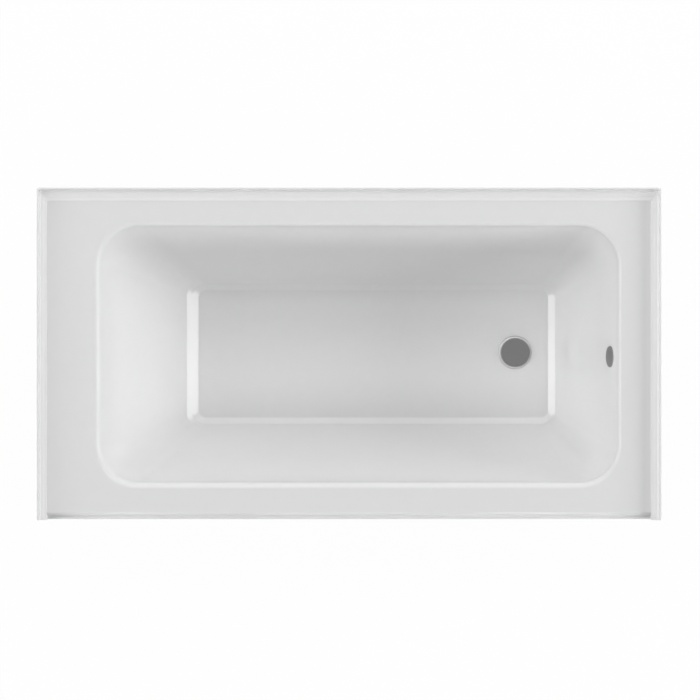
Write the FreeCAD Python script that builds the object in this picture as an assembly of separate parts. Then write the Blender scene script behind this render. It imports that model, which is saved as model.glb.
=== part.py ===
import FreeCAD, Part
import math
import os

# Alcove bathtub, 60 by 32 inch, with a raised tile flange on three walls, an open front with an
# apron panel, and the waste at the right-hand end. X runs along the length towards the drain, Y
# runs from the apron to the back wall, Z is up. The origin is at the middle of the footprint, on
# the floor under the levelling feet. All sizes are in millimetres.

V = FreeCAD.Vector

# Overall sizes
tub_length = 1524.0
tub_width = 813.0
deck_height = 490.0
flange_rise = 25.0
overrun = 2.0

# How near an edge has to lie to a plane or size to count as on it
tolerance = 0.05

# Sheet, laminate and bond lines
sheet = 4.0
laminate = 4.0
bond = 0.3

# Tile flange: a low ledge along the deck with an upstand at its outer edge
side_ledge_run = 22.0
back_ledge_run = 31.0
ledge_step = 5.0
mould_radius = 5.0
ledge_radius = 2.5

# Front edge: the deck rolls over in two steps into a skirt that hides the top of the apron
lip_step_out = 9.0
lip_step_down = 9.0
lip_drop = 52.0
lip_roll_radius = 7.5
post_proud = 2.5
post_foot = 10.0

# Bathing well: height of its floor above the room's floor, width of the deck on each side of its
# mouth, and how far each wall runs in on its way down
well_floor = 120.0
left_deck_width = 124.0
right_deck_width = 75.0
back_deck_width = 57.5
front_deck_width = 73.5
backrest_run = 201.5
drain_wall_run = 129.0
back_wall_run = 140.0
front_wall_run = 140.5
rim_corner_radius = 98.0
foot_corner_radius = 38.0
rim_radius = 11.0
cove_radius = 26.0
section_shares = (0.0, 0.22, 0.45, 0.7, 1.0)
backrest_power_share = 1.25
wall_power_share = 1.6

# Fixing holes in the upstand, one at each stud, placed in shares of the stud spacing
stud_spacing = 406.4
fixing_hole_radius = 2.5
back_hole_shares = (-1.5, -0.5, 0.5, 1.5)
end_hole_shares = (-0.5, 0.5)

# Board under the well
board_thickness = 15.0
board_margin = 14.0
board_corner_radius = 20.0
board_notch_width = 112.0

# Timber rails under the deck
rail_height = 25.0
rail_width = 36.0
left_rail_width = 60.0
rail_end_gap = 22.0
rail_wall_gap = 9.0

# Steel cross rails, channels open downwards: the first near the backrest's foot, the last beside
# the drain, one half way between
channel_width = 40.0
channel_height = 25.0
channel_wall = 2.0
first_channel_inset = 74.5
last_channel_drain_gap = 88.0
channel_apron_gap = 22.7
channel_wall_gap = 76.5
board_screw_inset = 66.0
board_screw_radius = 2.1
board_screw_head_radius = 4.5
board_screw_head_height = 2.5
board_screw_length = 11.0

# Levelling feet
foot_front_inset = 84.0
foot_back_inset = 48.0
pad_radius = 27.0
pad_neck_radius = 12.0
pad_base_height = 6.0
pad_height = 16.0
pad_socket_depth = 7.0
spindle_radius = 5.0
spindle_reach = 7.6
spindle_hex_across = 13.0
spindle_hex_height = 8.0
spindle_hex_gap = 2.0
nut_across = 17.0
nut_height = 8.0
thread_clearance = 0.05
hole_clearance = 0.5
seat_gap = 0.3

# Apron panel behind the skirt
apron_thickness = 5.0
apron_return = 20.0
apron_floor_gap = 8.0
apron_end_gap = 0.5
apron_top_gap = 2.0
batten_height = 70.0
batten_thickness = 12.0
batten_end_inset = 60.0
batten_level_share = 0.52
clip_width = 40.0
clip_thickness = 1.5
clip_height = 12.0
clip_room = 3.0
clip_front_gap = 2.0
clip_shares = (-0.75, -0.25, 0.25, 0.75)
bracket_thickness = 2.0
bracket_width = 32.0
bracket_bolt_radius = 3.0
bracket_bolt_head_across = 10.0
bracket_bolt_head_height = 4.0
bracket_bolt_length = 14.0
bracket_bolt_setback = 18.0
bracket_reach = 60.0
bracket_height = 40.0
apron_screw_radius = 2.2
apron_screw_head_radius = 5.0
apron_screw_head_height = 1.8
apron_screw_dome_share = 0.6
apron_screw_length = 18.0
apron_screw_drop = 24.0

# Waste: place of the drain on the floor, of the overflow on the wall and of the stack behind it
drain_inset = 98.0
drain_y = 4.0
overflow_y = -6.0
overflow_depth = 84.0
stack_setback = 41.0
waste_drop = 32.7

# Drain flange, a threaded body with a cross of four bars and a boss
flange_radius = 44.0
flange_thickness = 2.6
flange_edge_radius = 2.0
barrel_radius = 23.0
barrel_bore_radius = 19.5
barrel_length = 30.0
drain_hole_radius = 24.0
bar_width = 4.0
bar_height = 5.0
boss_radius = 6.0
boss_bore_radius = 3.0

# Pop-up stopper
cap_radius = 39.0
cap_thickness = 4.0
cap_lift_gap = 2.2
cap_edge_radius = 1.6
hub_radius = 9.0
hub_length = 17.0
post_radius = 6.0
post_top_gap = 6.0
spring_radius = 5.2
spring_wire = 1.0
seal_inner_radius = 20.5
seal_outer_radius = 29.0
running_clearance = 0.08

# Drain shoe under the floor
shoe_flange_radius = 38.0
shoe_flange_thickness = 4.0
shoe_gasket_thickness = 3.0
shoe_body_radius = 29.0
shoe_wall = 4.0
shoe_thread_length = 9.0
shoe_socket_length = 46.0

# Tubular waste pipes and fittings
pipe_radius = 19.05
pipe_wall = 2.0
fitting_wall = 3.2
fitting_clearance = 0.3
pipe_entry = 16.0
tee_branch = 44.0
tee_half_height = 40.0
slip_nut_radius = 27.5
slip_nut_overlap = 10.0
slip_nut_lip = 3.0
slip_nut_ribs = 10
slip_nut_rib_radius = 1.6
slip_washer_length = 4.0
tail_end = 6.0
tail_bead_place = 26.0
tail_bead_height = 2.0
tail_bead_proud = 0.8

# Overflow
overflow_hole_radius = 21.0
overflow_barrel_radius = 20.0
overflow_bore_radius = 16.5
overflow_flange_radius = 33.0
overflow_flange_thickness = 4.0
overflow_gasket_thickness = 6.0
overflow_ring_thickness = 1.4
overflow_seat_gap = 0.9
overflow_barrel_end_gap = 0.2
overflow_cover_radius = 26.5
overflow_cover_depth = 3.4
overflow_cover_wall = 1.4
overflow_cover_edge_radius = 1.1
overflow_slot_width = 20.0
overflow_slot_height = 2.4
elbow_drop = 46.0

# Places worked out from the sizes above
half_length = tub_length / 2
half_width = tub_width / 2
flange_top = deck_height + flange_rise
ledge_top = deck_height + ledge_step
well_depth = deck_height - well_floor
deck_underside = deck_height - sheet
deck_right = half_length - side_ledge_run
deck_back = half_width - back_ledge_run
post_front = -half_width
skirt_front = post_front + post_proud
roll_front = skirt_front + lip_step_out
tread_top = deck_height - lip_step_down
skirt_bottom = deck_height - lip_drop
rim_left = -deck_right + left_deck_width
rim_right = deck_right - right_deck_width
rim_back = deck_back - back_deck_width
rim_front = roll_front + front_deck_width
foot_left = rim_left + backrest_run
foot_right = rim_right - drain_wall_run
foot_back = rim_back - back_wall_run
foot_front = rim_front + front_wall_run
drain_x = foot_right - drain_inset
stack_x = rim_right + stack_setback
backing_top = deck_underside - bond
backing_bottom = backing_top - laminate
rail_top = backing_bottom - bond
rail_bottom = rail_top - rail_height
grow_backing_in = sheet + bond
grow_backing_out = grow_backing_in + laminate
well_underside = well_floor - grow_backing_out
board_top = well_underside - bond
board_bottom = board_top - board_thickness
channel_top = board_bottom
channel_bottom = channel_top - channel_height
first_channel = foot_left + first_channel_inset
last_channel = drain_x - last_channel_drain_gap
channel_places = (first_channel, (first_channel + last_channel) / 2, last_channel)
spindle_top = channel_top + spindle_reach
board_front = foot_front + board_margin
board_back = foot_back - board_margin
board_screw_rows = (board_front + board_screw_inset, board_back - board_screw_inset)
pipe_bore = pipe_radius - pipe_wall
socket_radius = pipe_radius + fitting_clearance
fitting_radius = socket_radius + fitting_wall
apron_front = skirt_front + sheet + seat_gap
apron_back = apron_front + apron_thickness
apron_top = tread_top - sheet - apron_top_gap
apron_half = deck_right - apron_end_gap
front_rail_face = apron_front + apron_return + clip_room
channel_front = apron_back + channel_apron_gap
channel_back = half_width - channel_wall_gap
foot_rows = (channel_front + foot_front_inset, channel_back - foot_back_inset)
bolt_row = channel_front + bracket_bolt_setback
bracket_top = channel_top + bracket_thickness
apron_screw_level = bracket_top - apron_screw_drop
drain_flange_top = well_floor + flange_thickness
cap_underside = drain_flange_top + cap_lift_gap
post_top = cap_underside - post_top_gap
shoe_flange_top = well_underside - shoe_gasket_thickness
waste_level = shoe_flange_top - waste_drop
drain_top = V(drain_x, drain_y, well_floor)
drain_low = V(drain_x, drain_y, waste_level)
stack = V(stack_x, overflow_y, waste_level)
up = V(0, 0, 1)
down = V(0, 0, -1)
waste_run = stack - drain_low
waste_direction = V(waste_run).normalize()
foot_places = [V(x, y, 0) for x in channel_places for y in foot_rows]
board_screw_places = [V(x, y, 0) for x in channel_places for y in board_screw_rows]


def block(x0, x1, y0, y1, z0, z1):
    """Upright box between two corners."""
    return Part.makeBox(x1 - x0, y1 - y0, z1 - z0, V(x0, y0, z0))


def rod(radius, start, direction, length):
    return Part.makeCylinder(radius, length, start, direction)


def tube(outer, inner, start, direction, length):
    return rod(outer, start, direction, length).cut(rod(inner, start, direction, length))


def prism_of_flats(across, flats, start, height):
    """Upright prism with a regular outline, such as a nut."""
    corner = across / 2 / math.cos(math.pi / flats)
    points = []
    for number in range(flats + 1):
        turn = 2 * math.pi * number / flats
        points.append(start + V(corner * math.cos(turn), corner * math.sin(turn), 0))
    face = Part.Face(Part.makePolygon(points))
    return face.extrude(V(0, 0, height))


def joined(shapes):
    """One solid out of shapes that share volume."""
    whole = shapes[0].multiFuse(shapes[1:]).removeSplitter()
    if len(whole.Solids) == 1:
        return whole.Solids[0]
    return whole


def rounded(shape, radius, wanted):
    """Round the edges of the shape that the test picks out."""
    edges = [edge for edge in shape.Edges if wanted(edge)]
    return shape.makeFillet(radius, edges)


def ring_edges_at(level, radius):
    """Test for a round edge of one radius at one level."""
    def wanted(edge):
        if not isinstance(edge.Curve, Part.Circle):
            return False
        same_level = abs(edge.Curve.Center.z - level) < tolerance
        return same_level and abs(edge.Curve.Radius - radius) < tolerance
    return wanted


def outline(left, right, front, back, radius, level):
    """Level rectangle with round corners, as a wire."""
    corners = (
        (right - radius, back - radius, 0.0),
        (left + radius, back - radius, 90.0),
        (left + radius, front + radius, 180.0),
        (right - radius, front + radius, 270.0),
    )
    edges = []
    ends = []
    for x, y, start_angle in corners:
        circle = Part.Circle(V(x, y, level), V(0, 0, 1), radius)
        first = math.radians(start_angle)
        arc = circle.toShape(first, first + math.pi / 2)
        edges.append(arc)
        ends.append((arc.Vertexes[0].Point, arc.Vertexes[-1].Point))
    ordered = []
    for number, arc in enumerate(edges):
        ordered.append(arc)
        following = ends[(number + 1) % len(ends)][0]
        ordered.append(Part.LineSegment(ends[number][1], following).toShape())
    return Part.Wire(ordered)


def well_section(share):
    """Left, right, front, back and corner radius of the well at a share of its depth."""
    lean = share ** wall_power_share
    recline = share ** backrest_power_share
    return (
        rim_left + (foot_left - rim_left) * recline,
        rim_right + (foot_right - rim_right) * lean,
        rim_front + (foot_front - rim_front) * lean,
        rim_back + (foot_back - rim_back) * lean,
        rim_corner_radius + (foot_corner_radius - rim_corner_radius) * share,
    )


def well_body(grow):
    """The well as a solid plug, its walls and floor set out by the grow distance."""
    wires = []
    for share in section_shares:
        left, right, front, back, radius = well_section(share)
        level = deck_height - share * (well_depth + grow)
        wires.append(outline(left - grow, right + grow, front - grow, back + grow, radius + grow, level))
    plug = Part.makeLoft(wires, True, False)
    bottom = deck_height - well_depth - grow

    def on_bottom(edge):
        return all(abs(vertex.Z - bottom) < tolerance for vertex in edge.Vertexes)

    return rounded(plug, cove_radius + grow, on_bottom)


def wall_point(depth):
    """Point on the drain-end wall and the wall's lean from upright, at a depth."""
    share = depth / well_depth
    run = foot_right - rim_right
    x = rim_right + run * share ** wall_power_share
    slope = -run * wall_power_share * share ** (wall_power_share - 1) / well_depth
    return V(x, overflow_y, deck_height - depth), math.atan(slope)


def flange_band(side_out, side_in, back_out, back_in, z0, z1):
    """Level strip along the left, back and right edges, open at the front."""
    outer = block(
        -half_length + side_out, half_length - side_out, post_front, half_width - back_out, z0, z1
    )
    inner = block(
        -half_length + side_in, half_length - side_in, post_front - overrun, half_width - back_in,
        z0 - overrun, z1 + overrun,
    )
    return outer.cut(inner)


def back_corner(edge):
    """Test for the upright outer edges at the two back corners."""
    box = edge.BoundBox
    upright = box.XLength < tolerance and box.YLength < tolerance
    at_end = abs(abs(box.XMin) - half_length) < tolerance
    return upright and at_end and abs(box.YMin - half_width) < tolerance


def end_post(side):
    """Hat section down the front corner, which carries the tile flange to the floor."""
    inner = side * deck_right
    outer = side * half_length
    low, high = min(inner, outer), max(inner, outer)
    post = block(low, high, post_front, roll_front + sheet, post_foot, ledge_top)

    def front_edge(edge):
        box = edge.BoundBox
        upright = box.XLength < tolerance and box.YLength < tolerance
        return upright and abs(box.YMin - post_front) < tolerance

    post = rounded(post, post_proud, front_edge)
    hollow = block(
        low + sheet, high - sheet, skirt_front + sheet, roll_front + sheet + overrun,
        post_foot - overrun, ledge_top - sheet,
    )
    return post.cut(hollow)


def tile_flange():
    """The ledge, its riser from the deck and the upstand on three sides."""
    riser = flange_band(
        side_ledge_run - sheet, side_ledge_run, back_ledge_run - sheet, back_ledge_run,
        deck_underside, ledge_top,
    )
    ledge = flange_band(0, side_ledge_run, 0, back_ledge_run, ledge_top - sheet, ledge_top)
    ledge = rounded(ledge, mould_radius, back_corner)
    step = joined([riser, ledge])

    def inner_top_edge(edge):
        box = edge.BoundBox
        level = abs(box.ZMin - ledge_top) < tolerance and abs(box.ZMax - ledge_top) < tolerance
        on_side = abs(abs(box.XMin) - deck_right) < tolerance and box.XLength < tolerance
        on_back = abs(box.YMin - deck_back) < tolerance and box.YLength < tolerance
        return level and (on_side or on_back)

    step = rounded(step, ledge_radius, inner_top_edge)
    upstand = flange_band(0, sheet, 0, sheet, ledge_top - sheet, flange_top)
    upstand = rounded(upstand, mould_radius, back_corner)

    def nose(edge):
        box = edge.BoundBox
        across = abs(box.XLength - sheet) < tolerance and box.YLength < tolerance
        return across and abs(box.YMin - post_front) < tolerance and abs(box.ZMin - flange_top) < tolerance

    upstand = rounded(upstand, flange_rise / 2, nose)
    return [step, upstand]


def front_lip():
    """The rolled front edge: riser, tread and skirt."""
    riser = block(-deck_right, deck_right, roll_front, roll_front + sheet, tread_top - sheet, deck_height)
    tread = block(-deck_right, deck_right, skirt_front, roll_front + sheet, tread_top - sheet, tread_top)
    skirt = block(-deck_right, deck_right, skirt_front, skirt_front + sheet, skirt_bottom, tread_top)
    return [riser, tread, skirt]


def acrylic_shell():
    deck_plate = block(
        -deck_right, deck_right, roll_front, deck_back, deck_underside, deck_height
    )
    deck = joined([deck_plate] + front_lip())

    def roll_edge(y, level):
        def wanted(edge):
            box = edge.BoundBox
            same_level = abs(box.ZMin - level) < tolerance and abs(box.ZMax - level) < tolerance
            return same_level and abs(box.YMin - y) < tolerance and box.XLength > half_length
        return wanted

    deck = rounded(deck, lip_roll_radius, roll_edge(roll_front, deck_height))
    deck = rounded(deck, lip_roll_radius, roll_edge(skirt_front, tread_top))
    shell = joined([deck] + tile_flange() + [end_post(-1), end_post(1)])
    shell = joined([shell, well_body(sheet)])
    shell = shell.cut(well_body(0))

    def mouth_edge(edge):
        box = edge.BoundBox
        level = abs(box.ZMin - deck_height) < tolerance and abs(box.ZMax - deck_height) < tolerance
        inside_x = box.XMin > rim_left - overrun and box.XMax < rim_right + overrun
        inside_y = box.YMin > rim_front - overrun and box.YMax < rim_back + overrun
        return level and inside_x and inside_y

    shell = rounded(shell, rim_radius, mouth_edge)
    return shell


def overflow_frame():
    """Point on the wall, the way out through the wall, and how thick the wall is along it."""
    point, lean = wall_point(overflow_depth)
    out = V(math.cos(lean), 0, -math.sin(lean))
    drift = math.tan(lean) * overflow_depth * grow_backing_out / well_depth
    thickness = (grow_backing_out + drift) * math.cos(lean)
    return point, out, thickness


def drain_hole():
    return rod(drain_hole_radius, drain_top + up * overrun, down, sheet + laminate + bond + overrun * 2)


def overflow_hole():
    point, out, thickness = overflow_frame()
    return rod(overflow_hole_radius, point - out * cove_radius, out, thickness + cove_radius * 2)


def fixing_holes():
    """Screw holes through the upstand: four in the back, two in each end."""
    level = (ledge_top + flange_top) / 2
    depth = sheet + overrun * 2
    holes = []
    for share in back_hole_shares:
        start = V(share * stud_spacing, half_width + overrun, level)
        holes.append(rod(fixing_hole_radius, start, V(0, -1, 0), depth))
    for side in (-1, 1):
        for share in end_hole_shares:
            start = V(side * (half_length + overrun), share * stud_spacing, level)
            holes.append(rod(fixing_hole_radius, start, V(-side, 0, 0), depth))
    return holes


def fibreglass_backing():
    plate = block(
        -deck_right + bond, deck_right - bond, roll_front + sheet + bond, deck_back - bond,
        backing_bottom, backing_top,
    )
    body = joined([plate, well_body(grow_backing_out)]).cut(well_body(grow_backing_in))
    above = block(-half_length, half_length, -half_width, half_width, backing_top, deck_height + overrun)
    return body.cut(above).cut(drain_hole()).cut(overflow_hole())


def floor_board():
    """Board bonded under the well, open towards the drain end for the shoe and pipe."""
    board = Part.Face(outline(
        foot_left + board_margin, foot_right - board_margin,
        board_front, board_back, board_corner_radius, board_bottom,
    )).extrude(up * board_thickness)
    half = board_notch_width / 2
    notch_start = V(drain_x, drain_y, board_bottom - overrun)
    board = board.cut(rod(half, notch_start, up, board_thickness + overrun * 2))
    board = board.cut(block(
        drain_x, foot_right, drain_y - half, drain_y + half, board_bottom - overrun, board_top + overrun,
    ))
    depth = board_screw_length - channel_wall + hole_clearance
    for place in board_screw_places:
        start = place + up * (board_bottom - overrun)
        board = board.cut(rod(board_screw_radius + thread_clearance, start, up, depth + overrun))
    return board


def deck_rails():
    """Timber rails bonded under the deck, front, back, left and right."""
    half = deck_right - rail_end_gap
    front_back_face = front_rail_face + rail_width
    back_front_face = rim_back + grow_backing_out + rail_wall_gap
    left_face = rim_left - grow_backing_out - rail_wall_gap
    right_face = rim_right + grow_backing_out + rail_wall_gap
    low, high = rail_bottom, rail_top
    side_front = front_back_face + seat_gap
    side_back = back_front_face - seat_gap
    return {
        "deck_rail_front": block(-half, half, front_rail_face, front_back_face, low, high),
        "deck_rail_back": block(-half, half, back_front_face, back_front_face + rail_width, low, high),
        "deck_rail_left": block(left_face - left_rail_width, left_face, side_front, side_back, low, high),
        "deck_rail_right": block(right_face, right_face + rail_width, side_front, side_back, low, high),
    }


def cross_rail(x):
    """Steel channel across the tub, open downwards, with holes for spindles, screws and bolt."""
    half = channel_width / 2
    rail = block(x - half, x + half, channel_front, channel_back, channel_bottom, channel_top)
    inner = half - channel_wall
    rail = rail.cut(block(
        x - inner, x + inner, channel_front - overrun, channel_back + overrun,
        channel_bottom - overrun, channel_top - channel_wall,
    ))
    web = channel_wall + overrun * 2
    start_level = up * (channel_top - channel_wall - overrun)
    for y in foot_rows:
        rail = rail.cut(rod(spindle_radius + hole_clearance, V(x, y, 0) + start_level, up, web))
    for y in board_screw_rows:
        rail = rail.cut(rod(board_screw_radius + hole_clearance, V(x, y, 0) + start_level, up, web))
    bolt = V(x, bolt_row, 0)
    return rail.cut(rod(bracket_bolt_radius + hole_clearance, bolt + start_level, up, web))


def board_screws():
    """Pan-head screws up through the rails into the board."""
    screws = []
    head_level = channel_top - channel_wall - board_screw_head_height
    for place in board_screw_places:
        head = rod(board_screw_head_radius, place + up * head_level, up, board_screw_head_height)
        shank_start = place + up * (head_level + board_screw_head_height / 2)
        shank = rod(board_screw_radius, shank_start, up, board_screw_length + board_screw_head_height / 2)
        screws.append(joined([head, shank]))
    return screws


def foot_nuts(top):
    """Nuts on the spindles with their upper faces at one level."""
    nuts = []
    for place in foot_places:
        body = prism_of_flats(nut_across, 6, place + up * (top - nut_height), nut_height)
        bore = rod(spindle_radius + thread_clearance, place + up * (top - nut_height - overrun), up,
                   nut_height + overrun * 2)
        nuts.append(body.cut(bore))
    return nuts


def foot_pad(place):
    """Moulded pad with a neck and a socket for the spindle."""
    base = rod(pad_radius, place, up, pad_base_height)
    base = rounded(base, pad_base_height / 3, ring_edges_at(pad_base_height, pad_radius))
    neck = rod(pad_neck_radius, place, up, pad_height)
    socket = rod(spindle_radius + seat_gap, place + up * (pad_height - pad_socket_depth), up,
                 pad_socket_depth + overrun)
    return joined([base, neck]).cut(socket)


def foot_spindle(place):
    """Threaded spindle with a spanner hexagon above the pad."""
    bottom = pad_height - pad_socket_depth
    shaft = rod(spindle_radius, place + up * bottom, up, spindle_top - bottom)
    top_edges = [edge for edge in shaft.Edges if abs(edge.BoundBox.ZMin - spindle_top) < tolerance]
    shaft = shaft.makeChamfer(spindle_radius / 5, top_edges)
    hex_start = place + up * (pad_height + spindle_hex_gap)
    hexagon = prism_of_flats(spindle_hex_across, 6, hex_start, spindle_hex_height)
    return joined([shaft, hexagon])


def apron_screw_holes(radius, y0, y1):
    places = [V(x, y0, apron_screw_level) for x in channel_places]
    return [rod(radius, place, V(0, 1, 0), y1 - y0) for place in places]


def front_apron():
    """Apron panel with returns along its top, foot and ends."""
    low = apron_floor_gap
    reach = apron_front + apron_return
    panel = block(-apron_half, apron_half, apron_front, apron_back, low, apron_top)
    top = block(-apron_half, apron_half, apron_front, reach, apron_top - apron_thickness, apron_top)
    toe = block(-apron_half, apron_half, apron_front, reach, low, low + apron_thickness)
    ends = [
        block(-apron_half, -apron_half + apron_thickness, apron_front, reach, low, apron_top),
        block(apron_half - apron_thickness, apron_half, apron_front, reach, low, apron_top),
    ]
    apron = joined([panel, top, toe] + ends)

    def toe_edge(edge):
        box = edge.BoundBox
        on_corner = abs(box.YMax - apron_front) < tolerance and abs(box.ZMax - low) < tolerance
        return on_corner and box.XLength > half_length

    apron = rounded(apron, apron_thickness / 2, toe_edge)
    hole_radius = apron_screw_radius + hole_clearance
    for hole in apron_screw_holes(hole_radius, apron_front - overrun, apron_back + overrun):
        apron = apron.cut(hole)
    return apron


def apron_batten():
    """Stiffening board bonded to the back of the apron."""
    middle = apron_floor_gap + (apron_top - apron_floor_gap) * batten_level_share
    half = deck_right - batten_end_inset
    face = apron_back + bond
    low, high = middle - batten_height / 2, middle + batten_height / 2
    return block(-half, half, face, face + batten_thickness, low, high)


def apron_clips():
    """Spring clips on the front deck rail, with a tongue under the apron's top return."""
    clips = []
    tongue_top = apron_top - apron_thickness - seat_gap
    tongue_low = tongue_top - clip_thickness
    for share in clip_shares:
        x = share * deck_right
        low, high = x - clip_width / 2, x + clip_width / 2
        plate_front = front_rail_face - clip_thickness
        plate = block(low, high, plate_front, front_rail_face, tongue_low, tongue_low + clip_height)
        tongue = block(low, high, apron_back + clip_front_gap, front_rail_face, tongue_low, tongue_top)
        clips.append(joined([plate, tongue]))
    return clips


def apron_brackets():
    """Angle brackets that tie the foot of the apron to the cross rails."""
    face = apron_back + seat_gap
    brackets = []
    for x in channel_places:
        low, high = x - bracket_width / 2, x + bracket_width / 2
        shelf = block(low, high, face, face + bracket_reach, channel_top, bracket_top)
        leg = block(low, high, face, face + bracket_thickness, bracket_top - bracket_height, bracket_top)
        bracket = joined([shelf, leg])
        bolt = V(x, bolt_row, channel_top - overrun)
        hole = rod(bracket_bolt_radius + hole_clearance, bolt, up, bracket_thickness + overrun * 2)
        brackets.append(bracket.cut(hole))
    hole_radius = apron_screw_radius + thread_clearance
    holes = apron_screw_holes(hole_radius, face - overrun, face + bracket_thickness + overrun)
    return [bracket.cut(hole) for bracket, hole in zip(brackets, holes)]


def bracket_bolts():
    """Hexagon bolts with a nut each, through bracket and rail."""
    bolts = []
    nut_level = channel_top - channel_wall - bracket_bolt_head_height
    for x in channel_places:
        place = V(x, bolt_row, 0)
        head_start = place + up * bracket_top
        head = prism_of_flats(bracket_bolt_head_across, 6, head_start, bracket_bolt_head_height)
        shank = rod(bracket_bolt_radius, place + up * (bracket_top + overrun), down, bracket_bolt_length)
        nut = prism_of_flats(bracket_bolt_head_across, 6, place + up * nut_level, bracket_bolt_head_height)
        bolts.append(joined([head, shank, nut]))
    return bolts


def apron_screws():
    """Oval-head screws through the foot of the apron."""
    screws = []
    forward = V(0, -1, 0)
    for x in channel_places:
        seat = V(x, apron_front, apron_screw_level)
        head = rod(apron_screw_head_radius, seat, forward, apron_screw_head_height)
        front_level = apron_front - apron_screw_head_height

        def front_ring(edge):
            return edge.BoundBox.YMax < front_level + tolerance

        head = rounded(head, apron_screw_head_height * apron_screw_dome_share, front_ring)
        shank_start = seat + forward * (apron_screw_head_height / 2)
        shank = rod(apron_screw_radius, shank_start, forward * -1, apron_screw_length)
        screws.append(joined([head, shank]))
    return screws


def drain_flange():
    """Flanged and threaded drain body with a cross of bars that holds the stopper's post."""
    disc = rod(flange_radius, drain_top, up, flange_thickness)
    disc = rounded(disc, flange_edge_radius, ring_edges_at(drain_flange_top, flange_radius))
    barrel = rod(barrel_radius, drain_top, down, barrel_length)
    shell = joined([disc, barrel])
    shell = shell.cut(rod(barrel_bore_radius, drain_top + up * (flange_thickness + overrun), down,
                          barrel_length + flange_thickness + overrun * 2))
    bar_low = well_floor - barrel_length + bar_height
    reach = (barrel_radius + barrel_bore_radius) / 2
    across = block(drain_x - reach, drain_x + reach, drain_y - bar_width / 2, drain_y + bar_width / 2,
                   bar_low, bar_low + bar_height)
    along = block(drain_x - bar_width / 2, drain_x + bar_width / 2, drain_y - reach, drain_y + reach,
                  bar_low, bar_low + bar_height)
    boss = rod(boss_radius, V(drain_x, drain_y, bar_low - bar_height), up, bar_height * 2)
    bore_start = V(drain_x, drain_y, bar_low - bar_height - overrun)
    bore = rod(boss_bore_radius, bore_start, up, bar_height * 2 + overrun * 2)
    return joined([shell, across, along, boss]).cut(bore)


def bars_top():
    return well_floor - barrel_length + bar_height * 2


def stopper_post():
    """Post that the stopper slides on, screwed into the boss of the drain flange."""
    base = V(drain_x, drain_y, bars_top())
    post = rod(post_radius, base, up, post_top - bars_top())
    stud = rod(boss_bore_radius - thread_clearance, base + up * overrun, down, bar_height + overrun)
    return joined([post, stud])


def stopper_cap():
    """Round cap with a sleeve that runs on the post."""
    disc = rod(cap_radius, V(drain_x, drain_y, cap_underside), up, cap_thickness)
    disc = rounded(disc, cap_edge_radius, ring_edges_at(cap_underside + cap_thickness, cap_radius))
    underside = V(drain_x, drain_y, cap_underside)
    hub = rod(hub_radius, underside + up * (cap_thickness / 2), down, hub_length + cap_thickness / 2)
    bore = rod(post_radius + running_clearance, underside, down, hub_length + overrun)
    return joined([disc, hub]).cut(bore)


def stopper_seal():
    return tube(seal_outer_radius, seal_inner_radius, V(drain_x, drain_y, drain_flange_top + seat_gap), up,
                cap_lift_gap - seat_gap)


def stopper_spring():
    return tube(spring_radius, spring_radius - spring_wire, V(drain_x, drain_y, post_top + seat_gap), up,
                post_top_gap - seat_gap * 2)


def drain_gasket():
    return tube(shoe_flange_radius, drain_hole_radius, V(drain_x, drain_y, shoe_flange_top), up,
                shoe_gasket_thickness)


def drain_shoe():
    """Elbow under the floor that takes the drain flange's thread and turns the flow to the stack."""
    low = waste_level - fitting_radius - shoe_wall / 2
    flange = rod(shoe_flange_radius, V(drain_x, drain_y, shoe_flange_top), down, shoe_flange_thickness)
    body = rod(shoe_body_radius, V(drain_x, drain_y, low), up, shoe_flange_top - low)
    outlet = rod(fitting_radius, drain_low, waste_direction, shoe_socket_length)
    shoe = joined([flange, body, outlet])
    thread_low = shoe_flange_top - shoe_thread_length
    thread = rod(barrel_radius + thread_clearance, V(drain_x, drain_y, thread_low - overrun), up,
                 shoe_thread_length + overrun * 2)
    chamber_start = V(drain_x, drain_y, low + shoe_wall)
    chamber = rod(shoe_body_radius - shoe_wall, chamber_start, up, thread_low - low - shoe_wall)
    socket_start = drain_low + waste_direction * (shoe_socket_length - pipe_entry)
    bore = rod(pipe_bore, drain_low, waste_direction, shoe_socket_length)
    socket = rod(socket_radius, socket_start, waste_direction, pipe_entry + overrun)
    return shoe.cut(thread).cut(chamber).cut(bore).cut(socket)


def waste_pipe():
    start = drain_low + waste_direction * (shoe_socket_length - pipe_entry + seat_gap)
    finish = waste_run.Length - tee_branch + pipe_entry - seat_gap
    length = finish - (shoe_socket_length - pipe_entry + seat_gap)
    return tube(pipe_radius, pipe_bore, start, waste_direction, length)


def waste_tee():
    """Tee at the foot of the overflow pipe, with sockets above, below and towards the shoe."""
    upright = rod(fitting_radius, stack - up * tee_half_height, up, tee_half_height * 2)
    branch = rod(fitting_radius, stack, waste_direction * -1, tee_branch)
    tee = joined([upright, branch])
    run = tee_half_height + overrun
    tee = tee.cut(rod(pipe_bore, stack - up * run, up, run * 2))
    tee = tee.cut(rod(pipe_bore, stack, waste_direction * -1, tee_branch + overrun))
    arms = ((up, tee_half_height), (down, tee_half_height), (waste_direction * -1, tee_branch))
    for direction, length in arms:
        socket_start = stack + direction * (length - pipe_entry)
        tee = tee.cut(rod(socket_radius, socket_start, direction, pipe_entry + overrun))
    return tee


def elbow_centre():
    point, out, thickness = overflow_frame()
    return point + out * ((stack_x - point.x) / out.x)


def overflow_pipe():
    start = stack + up * (tee_half_height - pipe_entry + seat_gap)
    finish = elbow_centre().z - elbow_drop + pipe_entry - seat_gap
    return tube(pipe_radius, pipe_bore, start, up, finish - start.z)


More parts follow.
